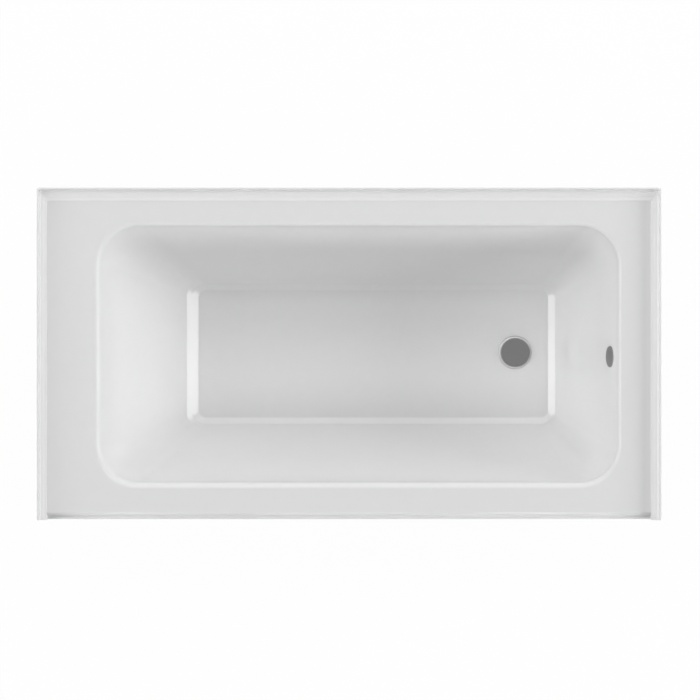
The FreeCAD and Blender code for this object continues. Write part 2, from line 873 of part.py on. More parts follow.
def tailpiece():
    """Pipe stub down from the tee, with a stop bead above its free end."""
    top = waste_level - tee_half_height + pipe_entry - seat_gap
    foot = V(stack_x, overflow_y, tail_end)
    pipe = rod(pipe_radius, foot, up, top - tail_end)
    bead = rod(pipe_radius + tail_bead_proud, V(stack_x, overflow_y, tail_bead_place), up, tail_bead_height)
    bore = rod(pipe_bore, foot - up * overrun, up, top - tail_end + overrun * 2)
    return joined([pipe, bead]).cut(bore)


def slip_joints():
    """Open end and outward direction of each socket that a slip nut closes."""
    elbow_end = elbow_centre() - up * elbow_drop
    return [
        (drain_low + waste_direction * shoe_socket_length, waste_direction),
        (stack - waste_direction * tee_branch, waste_direction * -1),
        (stack + up * tee_half_height, up),
        (stack - up * tee_half_height, down),
        (elbow_end, down),
    ]


def slip_nut(end, direction):
    """Ribbed nut over the end of a socket."""
    length = slip_nut_overlap + slip_washer_length + slip_nut_lip
    start = end - direction * slip_nut_overlap
    nut = rod(slip_nut_radius, start, direction, length)
    side = direction.cross(V(0, 1, 0)).normalize()
    ribs = []
    for number in range(slip_nut_ribs):
        turn = FreeCAD.Rotation(direction, 360.0 * number / slip_nut_ribs)
        rib_start = start + turn.multVec(side) * slip_nut_radius
        ribs.append(rod(slip_nut_rib_radius, rib_start, direction, length))
    nut = joined([nut] + ribs)
    wide = rod(fitting_radius + thread_clearance, start - direction * overrun, direction,
               slip_nut_overlap + slip_washer_length + overrun)
    narrow = rod(pipe_radius + tail_bead_proud / 2, start, direction, length + overrun)
    return nut.cut(wide).cut(narrow)


def slip_washer(end, direction):
    start = end + direction * thread_clearance
    length = slip_washer_length - thread_clearance * 2
    return tube(fitting_radius - seat_gap, pipe_radius + thread_clearance, start, direction, length)


def overflow_elbow():
    """Elbow behind the wall: threaded barrel through the wall, flange outside it, socket below."""
    point, out, thickness = overflow_frame()
    centre = elbow_centre()
    reach = overflow_seat_gap + overflow_ring_thickness + overflow_barrel_end_gap
    flange_start = thickness + bond + overflow_gasket_thickness
    barrel = rod(overflow_barrel_radius, point - out * reach, out, (centre - point).Length + reach)
    flange = rod(overflow_flange_radius, point + out * flange_start, out, overflow_flange_thickness)
    body_start = point + out * flange_start
    body = rod(fitting_radius, body_start, out, (centre - body_start).Length)
    knee = Part.makeSphere(fitting_radius, centre)
    leg = rod(fitting_radius, centre, down, elbow_drop)
    elbow = joined([barrel, flange, body, knee, leg])
    inlet_length = (centre - point).Length + reach + overrun
    inlet = rod(overflow_bore_radius, point - out * (reach + overrun), out, inlet_length)
    bend = Part.makeSphere(overflow_bore_radius, centre)
    drop = rod(overflow_bore_radius, centre, down, elbow_drop)
    socket = rod(socket_radius, centre - up * (elbow_drop - pipe_entry), down, pipe_entry + overrun)
    return elbow.cut(inlet.multiFuse([bend, drop])).cut(socket)


def overflow_gasket():
    point, out, thickness = overflow_frame()
    return tube(overflow_flange_radius, overflow_hole_radius, point + out * (thickness + bond), out,
                overflow_gasket_thickness)


def overflow_lock_ring():
    """Slim nut inside the tub that clamps the wall and carries the cover."""
    point, out, thickness = overflow_frame()
    radius = overflow_cover_radius - overflow_cover_wall - seat_gap
    start = point - out * (overflow_seat_gap + overflow_ring_thickness)
    return tube(radius, overflow_barrel_radius + thread_clearance, start, out, overflow_ring_thickness)


def overflow_cover():
    """Round cup pushed over the lock ring, with a slot at its lower edge that lets the water in."""
    point, out, thickness = overflow_frame()
    face = point - out * (overflow_seat_gap + overflow_cover_depth)
    cup = rod(overflow_cover_radius, face, out, overflow_cover_depth)

    def face_ring(edge):
        middle = edge.BoundBox.Center
        return abs((middle - face).dot(out)) < tolerance and isinstance(edge.Curve, Part.Circle)

    cup = rounded(cup, overflow_cover_edge_radius, face_ring)
    hollow_radius = overflow_cover_radius - overflow_cover_wall
    hollow = rod(hollow_radius, face + out * overflow_cover_wall, out, overflow_cover_depth)
    half = overflow_slot_width / 2
    slot = block(-overflow_slot_height, 0, -half, half, -overflow_cover_radius - overrun, 0)
    turn = FreeCAD.Rotation(V(1, 0, 0), out)
    slot.Placement = FreeCAD.Placement(face + out * overflow_cover_depth, turn)
    return cup.cut(hollow).cut(slot)


def finished_shell():
    shell = acrylic_shell().cut(drain_hole()).cut(overflow_hole())
    for hole in fixing_holes():
        shell = shell.cut(hole)
    return shell


def main():
    weld_nut_top = channel_top - channel_wall
    lock_nut_top = weld_nut_top - nut_height - seat_gap
    nodes = {
        "acrylic_shell": finished_shell(),
        "fibreglass_backing": fibreglass_backing(),
        "floor_board": floor_board(),
        "board_screws": board_screws(),
        "foot_weld_nuts": foot_nuts(weld_nut_top),
        "foot_lock_nuts": foot_nuts(lock_nut_top),
        "front_apron": front_apron(),
        "apron_batten": apron_batten(),
        "apron_clips": apron_clips(),
        "apron_brackets": apron_brackets(),
        "bracket_bolts": bracket_bolts(),
        "apron_screws": apron_screws(),
        "drain_flange": drain_flange(),
        "stopper_post": stopper_post(),
        "stopper_cap": stopper_cap(),
        "stopper_seal": stopper_seal(),
        "stopper_spring": stopper_spring(),
        "drain_gasket": drain_gasket(),
        "drain_shoe": drain_shoe(),
        "waste_pipe": waste_pipe(),
        "waste_tee": waste_tee(),
        "overflow_pipe": overflow_pipe(),
        "tailpiece": tailpiece(),
        "slip_nuts": [slip_nut(end, direction) for end, direction in slip_joints()],
        "slip_washers": [slip_washer(end, direction) for end, direction in slip_joints()],
        "overflow_elbow": overflow_elbow(),
        "overflow_gasket": overflow_gasket(),
        "overflow_lock_ring": overflow_lock_ring(),
        "overflow_cover": overflow_cover(),
    }
    nodes.update(deck_rails())
    for number, x in enumerate(channel_places, start=1):
        nodes["cross_rail_%d" % number] = cross_rail(x)
    for number, place in enumerate(foot_places, start=1):
        nodes["foot_pad_%d" % number] = foot_pad(place)
        nodes["foot_spindle_%d" % number] = foot_spindle(place)
    os.makedirs("parts", exist_ok=True)
    for name, shape in nodes.items():
        if isinstance(shape, list):
            shape = Part.makeCompound(shape)
        box = shape.BoundBox
        print("%-20s solids %2d valid %s volume %10.0f  x %7.1f %7.1f  y %7.1f %7.1f  z %6.1f %6.1f" % (
            name, len(shape.Solids), shape.isValid(), shape.Volume,
            box.XMin, box.XMax, box.YMin, box.YMax, box.ZMin, box.ZMax,
        ))
        shape.exportStep("parts/%s.step" % name)


main()
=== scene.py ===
import bmesh
import bpy
from math import cos, pi, radians, sin
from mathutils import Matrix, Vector


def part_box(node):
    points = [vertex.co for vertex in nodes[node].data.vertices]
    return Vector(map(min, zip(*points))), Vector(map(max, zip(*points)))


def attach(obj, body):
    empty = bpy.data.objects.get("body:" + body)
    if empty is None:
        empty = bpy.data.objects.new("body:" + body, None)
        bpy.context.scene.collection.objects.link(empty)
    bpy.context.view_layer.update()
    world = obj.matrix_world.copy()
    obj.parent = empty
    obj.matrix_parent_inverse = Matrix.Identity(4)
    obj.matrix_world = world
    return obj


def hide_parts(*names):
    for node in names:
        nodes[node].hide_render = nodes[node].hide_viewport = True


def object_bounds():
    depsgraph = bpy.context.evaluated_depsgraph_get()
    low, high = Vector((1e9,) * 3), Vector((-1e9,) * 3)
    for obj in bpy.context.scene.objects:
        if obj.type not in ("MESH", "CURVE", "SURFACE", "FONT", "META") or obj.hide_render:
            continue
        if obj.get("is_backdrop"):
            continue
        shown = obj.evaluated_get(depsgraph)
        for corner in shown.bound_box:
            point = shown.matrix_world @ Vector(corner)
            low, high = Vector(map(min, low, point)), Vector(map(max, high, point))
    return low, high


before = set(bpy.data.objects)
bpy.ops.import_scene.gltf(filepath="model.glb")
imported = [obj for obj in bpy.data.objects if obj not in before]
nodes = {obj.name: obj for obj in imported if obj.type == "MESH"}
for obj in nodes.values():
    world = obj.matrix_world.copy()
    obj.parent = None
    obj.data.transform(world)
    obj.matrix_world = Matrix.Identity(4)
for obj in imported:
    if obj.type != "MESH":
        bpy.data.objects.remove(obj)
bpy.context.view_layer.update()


# The bathtub's shell is one sheet of white acrylic, heated and drawn into a mould: the deck, the
# bathing well, the raised tile flange on three sides and the rolled front edge are all one surface.
# The well is drawn as level outlines with round corners, from the rim down, and bridged into a wall.
deck_level = 0.490
well_floor = 0.120
sheet = 0.004
deck_right = 0.740
deck_back = 0.3755
roll_front = -0.395
lip_roll = 0.0075
rim_left, rim_right, rim_front, rim_back = -0.6150, 0.6625, -0.3160, 0.3160
backrest_run, drain_run, front_run, back_run = 0.2020, 0.1265, 0.1350, 0.138
backrest_power, wall_power = 1.25, 1.6
rim_corner, foot_corner = 0.098, 0.038
rim_drop = 0.008
rim_turn = radians(80)
rim_round_left, rim_round_right, rim_round_front, rim_round_back = 0.0180, 0.0065, 0.0150, 0.0080
backrest_foot, drain_foot, front_foot, back_foot = 0.2182, 0.1385, 0.1480, 0.148
backrest_cove, drain_cove, front_cove, back_cove = 0.0206, 0.0140, 0.0068, 0.0095
cove_rows = (0.7, 0.4)
cove_corner_loss = 0.018
crease = 0.0010
well_depth = deck_level - well_floor
corner_steps = 20
drain_x, drain_y = 0.438, 0.004
drain_hole = 0.024


def start_piece(name):
    """An empty mesh piece, open in edit mode."""
    bpy.ops.object.select_all(action="DESELECT")
    bpy.ops.mesh.primitive_plane_add(size=1)
    piece = bpy.context.object
    piece.name = name
    piece.data.name = name
    bpy.ops.object.mode_set(mode="EDIT")
    bpy.ops.mesh.delete(type="VERT")
    return piece


def select_points(piece, wanted):
    """Selects the points that pass the test, which is given each point and its line's number."""
    bpy.ops.mesh.select_all(action="DESELECT")
    shape = bmesh.from_edit_mesh(piece.data)
    line = shape.verts.layers.int.get("line") or shape.verts.layers.int.new("line")
    for point in shape.verts:
        point.select_set(bool(wanted(point.co, point[line])))
    shape.select_flush(True)
    bmesh.update_edit_mesh(piece.data)


def draw_outline(left, right, front, back, level, radius, steps):
    """A level rectangle with round corners, as a closed line."""
    middle = ((left + right) / 2, (front + back) / 2, level)
    bpy.ops.mesh.select_all(action="DESELECT")
    bpy.ops.mesh.primitive_plane_add(size=1, location=middle)
    bpy.ops.transform.resize(value=(right - left, back - front, 1), center_override=middle)
    bpy.ops.mesh.bevel(offset=radius, offset_type="OFFSET", segments=steps, affect="VERTICES")
    bpy.ops.mesh.delete(type="ONLY_FACE")


def join_line(piece, number):
    """Numbers the line that was drawn last and bridges it to the line before it."""
    shape = bmesh.from_edit_mesh(piece.data)
    line = shape.verts.layers.int.get("line") or shape.verts.layers.int.new("line")
    for point in shape.verts:
        if point[line] == 0:
            point[line] = number
    if number > 1:
        select_points(piece, lambda place, line: line in (number - 1, number))
        bpy.ops.mesh.bridge_edge_loops(type="SINGLE")


def wall_inset(run, power, cove_height, foot, depth):
    """How far a wall has come in at a depth: a curve down to the cove, then an even slope."""
    height = well_depth - depth
    if height >= cove_height:
        return run * (depth / well_depth) ** power
    top = run * (1 - cove_height / well_depth) ** power
    return top + (foot - top) * (1 - height / cove_height)


def finish_smooth(piece, angle):
    """Leaves edit mode with merged points, outward faces and smooth shading."""
    bpy.ops.mesh.select_all(action="SELECT")
    bpy.ops.mesh.remove_doubles(threshold=0.00001)
    bpy.ops.mesh.normals_make_consistent(inside=False)
    bpy.ops.object.mode_set(mode="OBJECT")
    if "line" in piece.data.attributes:
        piece.data.attributes.remove(piece.data.attributes["line"])
    smooth_shade(piece, angle)


def smooth_shade(piece, angle):
    """Shades a piece smooth, except where it turns more sharply than the angle."""
    bpy.ops.object.select_all(action="DESELECT")
    piece.select_set(True)
    bpy.context.view_layer.objects.active = piece
    bpy.ops.object.shade_smooth_by_angle(angle=radians(angle))


def apply_modifier(piece, kind, **settings):
    """Adds a modifier with its settings and applies it."""
    modifier = piece.modifiers.new(kind.title(), kind)
    for key, value in settings.items():
        setattr(modifier, key, value)
    bpy.context.view_layer.objects.active = piece
    bpy.ops.object.modifier_apply(modifier=modifier.name)


well = start_piece("shell_well")
rim_steps, wall_steps = 10, 22
holding = 0.002
hair = 0.00002
stations = [(0.0, 1 + holding / rim_drop), (hair, 1.0)]
for number in range(1, rim_steps + 1):
    turn = rim_turn * number / rim_steps
    drop = rim_drop * (1 - cos(turn)) / (1 - cos(rim_turn))
    stations.append((drop, 1 - sin(turn) / sin(rim_turn)))
wall_end = well_depth - backrest_cove - crease
for number in range(1, wall_steps + 1):
    stations.append((rim_drop + (wall_end - rim_drop) * number / wall_steps, 0.0))
levels = {crease, 0.0}
for cove_height in (backrest_cove, drain_cove, front_cove, back_cove):
    levels |= {cove_height + crease / 2, cove_height - crease / 2}
    levels |= {cove_height * share for share in cove_rows}
for level in sorted(levels, reverse=True):
    stations.append((well_depth - level, 0.0))
stations.append((well_depth + hair, -crease / rim_drop))

deck_front = roll_front + lip_roll
draw_outline(-deck_right, deck_right, deck_front, deck_back, deck_level, holding, corner_steps)
join_line(well, 1)
for number, (depth, outward) in enumerate(stations, start=2):
    left = rim_left + wall_inset(backrest_run, backrest_power, backrest_cove, backrest_foot, depth)
    right = rim_right - wall_inset(drain_run, wall_power, drain_cove, drain_foot, depth)
    front = rim_front + wall_inset(front_run, wall_power, front_cove, front_foot, depth)
    back = rim_back - wall_inset(back_run, wall_power, back_cove, back_foot, depth)
    left -= outward * rim_round_left
    right += outward * rim_round_right
    front -= outward * rim_round_front
    back += outward * rim_round_back
    corner = rim_corner + (foot_corner - rim_corner) * depth / well_depth + outward * rim_drop
    corner -= cove_corner_loss * max(0.0, 1 - (well_depth - depth) / drain_cove)
    draw_outline(left, right, front, back, deck_level - depth, corner, corner_steps)
    join_line(well, number)
bpy.ops.mesh.select_all(action="DESELECT")
bpy.ops.mesh.primitive_circle_add(
    vertices=4 * (corner_steps + 1), radius=drain_hole, location=(drain_x, drain_y, well_floor),
)
join_line(well, len(stations) + 2)
finish_smooth(well, 40)

# The tile flange goes behind the wall tiles: three low sloping steps along the left, back and right
# edges and an upstand with a rounded top and a screw hole at each stud. Its section is carried round
# the two back corners and ends in a nose at the front.
side_ledge = 0.022
back_ledge = 0.031
flange_rise = 0.025
front_face = -0.4065
inner_share, outer_share = 0.30, 0.62
step_levels = (0.0018, 0.0042, 0.0054, 0.0080, 0.0092, 0.0116)
upstand = 0.0045
draft = 0.0008
fall = 0.0003
inner_corner, corner_growth = 0.004, 0.003
flange_corner_steps = 6
nose = 0.015
outer_round = 0.0028
step_round = 0.0010
flange = start_piece("shell_flange")
section = (
    (0.0, draft, -sheet),
    (0.0, 0.0, 0.0),
    (0.0, draft, step_levels[0]),
    (inner_share, 0.0, step_levels[1]),
    (inner_share, draft, step_levels[2]),
    (outer_share, 0.0, step_levels[3]),
    (outer_share, draft, step_levels[4]),
    (1.0, -upstand - draft, step_levels[5]),
    (1.0, -upstand, flange_rise - fall),
    (1.0, 0.0, flange_rise),
    (1.0, 0.0, -sheet),
)
for number, (share, offset, rise) in enumerate(section, start=1):
    side = deck_right + side_ledge * share + offset
    back = deck_back + back_ledge * share + offset
    middle = (0, (front_face + draft + back) / 2, deck_level + rise)
    bpy.ops.mesh.select_all(action="DESELECT")
    bpy.ops.mesh.primitive_plane_add(size=1, location=middle)
    bpy.ops.transform.resize(value=(2 * side, back - front_face - draft, 1), center_override=middle)
    bpy.ops.mesh.delete(type="ONLY_FACE")
    select_points(flange, lambda place, line: line == 0 and place.y < middle[1])
    bpy.ops.mesh.delete(type="EDGE")
    select_points(flange, lambda place, line: line == 0 and place.y > middle[1])
    corner = inner_corner + corner_growth * share
    bpy.ops.mesh.bevel(
        offset=corner, offset_type="OFFSET", segments=flange_corner_steps, affect="VERTICES",
    )
    join_line(flange, number)
select_points(flange, lambda place, line: line in (1, len(section)))
bpy.ops.mesh.bridge_edge_loops(type="SINGLE")
flange_end = front_face + 2 * draft
for side in (-1, 1):
    select_points(flange, lambda place, line: place.y < flange_end and place.x * side > 0)
    bpy.ops.mesh.edge_face_add()
nose_low = deck_level + flange_rise - 2 * fall
select_points(flange, lambda place, line: place.y < flange_end and place.z > nose_low)
bpy.ops.mesh.bevel(offset=nose, offset_type="OFFSET", segments=6, affect="EDGES")
outer_side = deck_right + side_ledge - hair
outer_low = deck_level + flange_rise - nose - hair
outer_line = len(section) - 1


def on_outer_edge(place, line):
    """Finds the points along the top of the upstand's outer side, and down the noses."""
    return line == outer_line or (abs(place.x) > outer_side and place.z > outer_low)


select_points(flange, on_outer_edge)
bpy.ops.mesh.bevel(offset=outer_round, offset_type="OFFSET", segments=5, affect="EDGES")
finish_smooth(flange, 30)
apply_modifier(
    flange, "BEVEL", width=step_round, segments=3, limit_method="ANGLE", angle_limit=radians(28),
)

stud_spacing = 0.4064
hole_radius = 0.0025
hole_level = deck_level + 0.015
hole_depth = 0.02
hole_places = []
for studs in (-1.5, -0.5, 0.5, 1.5):
    hole_places.append((stud_spacing * studs, deck_back + back_ledge, (90, 0, 0)))
for side in (-deck_right - side_ledge, deck_right + side_ledge):
    for studs in (-0.5, 0.5):
        hole_places.append((side, stud_spacing * studs, (0, 90, 0)))
drills = start_piece("flange_drills")
for place_x, place_y, turn in hole_places:
    bpy.ops.mesh.select_all(action="DESELECT")
    bpy.ops.mesh.primitive_cylinder_add(
        vertices=24, radius=hole_radius, depth=hole_depth, location=(place_x, place_y, hole_level),
        rotation=[radians(angle) for angle in turn],
    )
finish_smooth(drills, 30)
apply_modifier(flange, "BOOLEAN", operation="DIFFERENCE", object=drills, solver="EXACT")
bpy.data.objects.remove(drills)
smooth_shade(flange, 50)
apply_modifier(flange, "WEIGHTED_NORMAL", weight=100, keep_sharp=True)

# The front edge rolls over in two small steps and hangs down in front of the apron. It is drawn as
# the deck's last strip, carried forward and down one stretch at a time.
lip_step = 0.0105
lip_drop = 0.052
skirt_front = roll_front - lip_step
roll_steps = 6
lip = start_piece("shell_lip")
lip_line = [Vector((0, deck_front, deck_level))]
for corner_y, corner_z in ((roll_front, deck_level), (skirt_front, deck_level - lip_step)):
    for number in range(roll_steps + 1):
        turn = pi / 2 * number / roll_steps
        place_y = corner_y + lip_roll * (1 - sin(turn))
        place_z = corner_z - lip_roll * (1 - cos(turn))
        lip_line.append(Vector((0, place_y, place_z)))
lip_line.append(Vector((0, skirt_front, deck_level - lip_drop)))
edge = lip_line[0]
bpy.ops.mesh.primitive_plane_add(size=1, location=edge)
bpy.ops.transform.resize(value=(2 * deck_right, 1, 1), center_override=edge)
select_points(lip, lambda place, line: place.y > edge.y)
bpy.ops.mesh.delete(type="VERT")
select_points(lip, lambda place, line: True)
bpy.ops.transform.translate(value=(0, 0.5, 0))
for target in lip_line[1:]:
    if (target - edge).length > hair:
        select_points(lip, lambda place, line: (place.yz - edge.yz).length < hair)
        bpy.ops.mesh.extrude_region_move(TRANSFORM_OT_translate={"value": target - edge})
        edge = target
finish_smooth(lip, 40)
apply_modifier(lip, "SOLIDIFY", thickness=sheet, offset=-1)

# The posts carry the flange down to just above the floor at the two front corners, and are hollow
# and open behind. Each is a block without its back and foot, with rounded front edges and a wall.
post_depth = 0.0155
post_foot = 0.010
post_round = 0.0025
post_top = deck_level - sheet / 2


def select_edges(piece, wanted):
    """Selects the edges whose two end points pass the test."""
    bpy.ops.mesh.select_mode(type="EDGE")
    bpy.ops.mesh.select_all(action="DESELECT")
    shape = bmesh.from_edit_mesh(piece.data)
    for edge in shape.edges:
        edge.select_set(bool(wanted(edge.verts[0].co, edge.verts[1].co)))
    bmesh.update_edit_mesh(piece.data)


def start_block(name, low, high):
    """A block between two corners, open in edit mode."""
    middle = (Vector(low) + Vector(high)) / 2
    bpy.ops.object.select_all(action="DESELECT")
    bpy.ops.mesh.primitive_cube_add(size=1, location=(0, 0, 0))
    piece = bpy.context.object
    piece.name = name
    piece.data.name = name
    bpy.ops.object.mode_set(mode="EDIT")
    bpy.ops.transform.resize(value=Vector(high) - Vector(low), center_override=(0, 0, 0))
    bpy.ops.transform.translate(value=middle)
    return piece


def select_faces(piece, wanted):
    """Selects the faces whose outward direction passes the test."""
    bpy.ops.mesh.select_mode(type="FACE")
    bpy.ops.mesh.select_all(action="DESELECT")
    shape = bmesh.from_edit_mesh(piece.data)
    for face in shape.faces:
        face.select_set(bool(wanted(face.normal, face.calc_center_median())))
    bmesh.update_edit_mesh(piece.data)


posts = []
for name, inner, outer in (("end_post_left", -deck_right, -deck_right - side_ledge),
                           ("end_post_right", deck_right, deck_right + side_ledge)):
    low = (min(inner, outer), front_face, post_foot)
    high = (max(inner, outer), front_face + post_depth, post_top)
    post = start_block(name, low, high)
    select_faces(post, lambda facing, place: facing.y > 0.9 or facing.z < -0.9)
    bpy.ops.mesh.delete(type="FACE")
    select_edges(
        post, lambda a, b: max(a.y, b.y) < front_face + hair and max(a.z, b.z) > post_foot + hair,
    )
    bpy.ops.mesh.bevel(offset=post_round, offset_type="OFFSET", segments=5, affect="EDGES")
    bpy.ops.mesh.select_mode(type="VERT")
    finish_smooth(post, 40)
    apply_modifier(post, "SOLIDIFY", thickness=sheet, offset=-1)
    posts.append(post)

# The acrylic is glossy white all through, with a faint orange-peel ripple left by the mould. The
# whole shell has it, and so has the apron's panel.
tint_span = (0.3, 0.7)


def make_finish(name, dark, light, roughness, grain,
                stretch=(1, 1, 1), relief=0.1, depth=0.001, metal=0.0):
    """A finish whose grain shades between two colours, varies the gloss and gives relief."""
    finish = bpy.data.materials.new(name)
    finish.use_nodes = True
    tree = finish.node_tree
    shader = tree.nodes["Principled BSDF"]
    shader.inputs["Metallic"].default_value = metal
    place = tree.nodes.new("ShaderNodeTexCoord")
    spread = tree.nodes.new("ShaderNodeMapping")
    spread.inputs["Scale"].default_value = stretch
    kind, settings = grain
    pattern = tree.nodes.new(kind)
    for key, value in settings.items():
        pattern.inputs[key].default_value = value
    tint = tree.nodes.new("ShaderNodeValToRGB")
    for stop, position, colour in zip(tint.color_ramp.elements, tint_span, (dark, light)):
        stop.position = position
        stop.color = (*colour, 1)
    gloss = tree.nodes.new("ShaderNodeMapRange")
    gloss.inputs["To Min"].default_value = roughness[0]
    gloss.inputs["To Max"].default_value = roughness[1]
    bump = tree.nodes.new("ShaderNodeBump")
    bump.inputs["Strength"].default_value = relief
    bump.inputs["Distance"].default_value = depth
    shade = pattern.outputs[0]
    tree.links.new(place.outputs["Object"], spread.inputs["Vector"])
    tree.links.new(spread.outputs["Vector"], pattern.inputs["Vector"])
    tree.links.new(shade, tint.inputs["Fac"])
    tree.links.new(tint.outputs["Color"], shader.inputs["Base Color"])
    tree.links.new(shade, gloss.inputs["Value"])
    tree.links.new(gloss.outputs["Result"], shader.inputs["Roughness"])
    tree.links.new(shade, bump.inputs["Height"])
    tree.links.new(bump.outputs["Normal"], shader.inputs["Normal"])
    return finish


def set_piece(piece, finish, slot, body, *stands_for):
    """Gives a piece its finish, the body that it rides on and the solids that it stands for."""
    piece.data.materials.clear()
    piece.data.materials.append(finish)
    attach(piece, body)
    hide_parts(*stands_for)


acrylic = make_finish(
    "white_acrylic", (0.876, 0.879, 0.878), (0.884, 0.886, 0.885), (0.05, 0.07),
    ("ShaderNodeTexNoise", {"Scale": 40.0, "Detail": 1.0}), relief=0.002, depth=0.002,
)
acrylic.node_tree.nodes["Principled BSDF"].inputs["IOR"].default_value = 1.49
for piece in (well, flange, lip, *posts):
    set_piece(piece, acrylic, "acrylic", "tub", "acrylic_shell")

# The underside of the shell is stiffened with chopped glass fibre and resin, sprayed on and rolled
# down by hand. It stays rough and yellowish, with the strands showing.
merge_gap = 0.000005
flat_angle = 0.5


def eased_copy(node, width, finish, slot, body="tub", angle=35):
    """A merged copy of a solid with its sharp edges eased, which stands for it."""
    piece = bpy.data.objects.new("eased_" + node, nodes[node].data.copy())
    bpy.context.scene.collection.objects.link(piece)
    bpy.ops.object.select_all(action="DESELECT")
    piece.select_set(True)
    bpy.context.view_layer.objects.active = piece
    bpy.ops.object.mode_set(mode="EDIT")
    bpy.ops.mesh.select_all(action="SELECT")
    bpy.ops.mesh.remove_doubles(threshold=merge_gap)
    bpy.ops.mesh.dissolve_limited(angle_limit=radians(flat_angle))
    bpy.ops.object.mode_set(mode="OBJECT")
    if width > 0:
        limit = radians(angle)
        apply_modifier(piece, "BEVEL", width=width, segments=2, limit_method="ANGLE", angle_limit=limit)
    smooth_shade(piece, 38)
    set_piece(piece, finish, slot, body, node)
    return piece


laminate = make_finish(
    "glass_fibre_laminate", (0.46, 0.44, 0.34), (0.66, 0.64, 0.54), (0.35, 0.6),
    ("ShaderNodeTexNoise", {"Scale": 95.0, "Detail": 4.0, "Distortion": 2.6}),
    relief=0.6, depth=0.002,
)
eased_copy("fibreglass_backing", 0, laminate, "laminate")

# The board under the well is particle board, bonded into the wet laminate and open at the drain end
# for the waste. Its cut edges show the chips.
chips = make_finish(
    "particle_board", (0.40, 0.28, 0.17), (0.66, 0.52, 0.35), (0.6, 0.85),
    ("ShaderNodeTexVoronoi", {"Scale": 170.0, "Randomness": 1.0}),
    stretch=(1, 1.7, 1), relief=0.25, depth=0.001,
)
eased_copy("floor_board", 0.0008, chips, "board")

# Four rails of sawn softwood are bonded under the deck to carry its edges. Each is a plank with its
# edges taken off, and the grain runs along it.
rail_edge = 0.0015
softwood = (
    (0.48, 0.32, 0.17), (0.73, 0.56, 0.36), (0.55, 0.8),
    ("ShaderNodeTexNoise", {"Scale": 5.0, "Detail": 5.0, "Distortion": 0.6}),
)
grain_along_x = make_finish(
    "softwood_lengthways", *softwood, stretch=(0.8, 16, 16), relief=0.25, depth=0.002,
)
grain_along_y = make_finish(
    "softwood_crossways", *softwood, stretch=(16, 0.8, 16), relief=0.25, depth=0.002,
)


def plank(node, edge_width, finish, slot):
    """A board in a solid's place, with eased edges."""
    low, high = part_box(node)
    piece = start_block("plank_" + node, low, high)
    bpy.ops.mesh.select_all(action="SELECT")
    bpy.ops.mesh.bevel(offset=edge_width, offset_type="OFFSET", segments=2, affect="EDGES")
    finish_smooth(piece, 30)
    set_piece(piece, finish, slot, "tub", node)


for node in ("deck_rail_front", "deck_rail_back"):
    plank(node, rail_edge, grain_along_x, "timber")
for node in ("deck_rail_left", "deck_rail_right"):
    plank(node, rail_edge, grain_along_y, "timber")

# Three zinc-plated steel channels lie across the tub under the board, screwed up into it. They carry
# the feet, whose nuts are welded inside the channels with a lock nut below each.
zinc = make_finish(
    "zinc_plated_steel", (0.48, 0.50, 0.52), (0.66, 0.67, 0.68), (0.28, 0.46),
    ("ShaderNodeTexVoronoi", {"Scale": 70.0}),
    stretch=(1, 0.6, 1), relief=0.04, depth=0.0005, metal=1.0,
)
bright_screw = make_finish(
    "bright_screw", (0.62, 0.62, 0.61), (0.80, 0.80, 0.79), (0.16, 0.30),
    ("ShaderNodeTexNoise", {"Scale": 900.0}), relief=0.05, depth=0.0002, metal=1.0,
)
for number in (1, 2, 3):
    eased_copy("cross_rail_%d" % number, 0.0004, zinc, "zinc_steel")
for node in ("foot_weld_nuts", "foot_lock_nuts"):
    eased_copy(node, 0.0005, zinc, "zinc_steel")
eased_copy("board_screws", 0.0004, bright_screw, "screw_metal")

# Each of the six feet is a black moulded pad with a threaded steel spindle that turns in it, and a
# spanner hexagon above the pad. One pad and one spindle are drawn and copied to every place.
moulded_black = make_finish(
    "moulded_black", (0.020, 0.020, 0.021), (0.040, 0.040, 0.042), (0.38, 0.55),
    ("ShaderNodeTexNoise", {"Scale": 500.0, "Detail": 3.0}), relief=0.15, depth=0.0003,
)
pad_radius, neck_radius = 0.027, 0.012
pad_base, pad_height = 0.006, 0.016
socket_radius, socket_floor = 0.0053, 0.009
spindle_radius, thread_pitch, thread_depth = 0.005, 0.0015, 0.0006
hexagon_low, hexagon_high, hexagon_across = 0.018, 0.026, 0.013
hexagon_edge = 0.0005
thread_start, plain_end = hexagon_high + 0.001, 0.002


def turn_piece(name, half_section, centre, steps):
    """Draws a closed half section point by point and spins it about an upright axis."""
    piece = start_piece(name)
    first = Vector((centre[0] + half_section[0][0], centre[1], half_section[0][1]))
    bpy.ops.mesh.primitive_plane_add(size=0.001, location=first)
    bpy.ops.mesh.merge(type="CENTER")
    place = first
    for radius, level in half_section[1:]:
        target = Vector((centre[0] + radius, centre[1], level))
        bpy.ops.mesh.extrude_region_move(TRANSFORM_OT_translate={"value": target - place})
        place = target
    bpy.ops.mesh.select_all(action="SELECT")
    bpy.ops.mesh.spin(steps=steps, angle=2 * pi, center=(centre[0], centre[1], 0), axis=(0, 0, 1))
    bpy.ops.mesh.select_all(action="SELECT")
    bpy.ops.mesh.remove_doubles(threshold=0.00001)
    bpy.ops.mesh.normals_make_consistent(inside=False)
    return piece


def copy_piece(piece, name, shift):
    """A copy with its own mesh, moved by the shift."""
    twin = bpy.data.objects.new(name, piece.data.copy())
    bpy.context.scene.collection.objects.link(twin)
    twin.data.name = name
    for point in twin.data.vertices:
        point.co += shift
    return twin


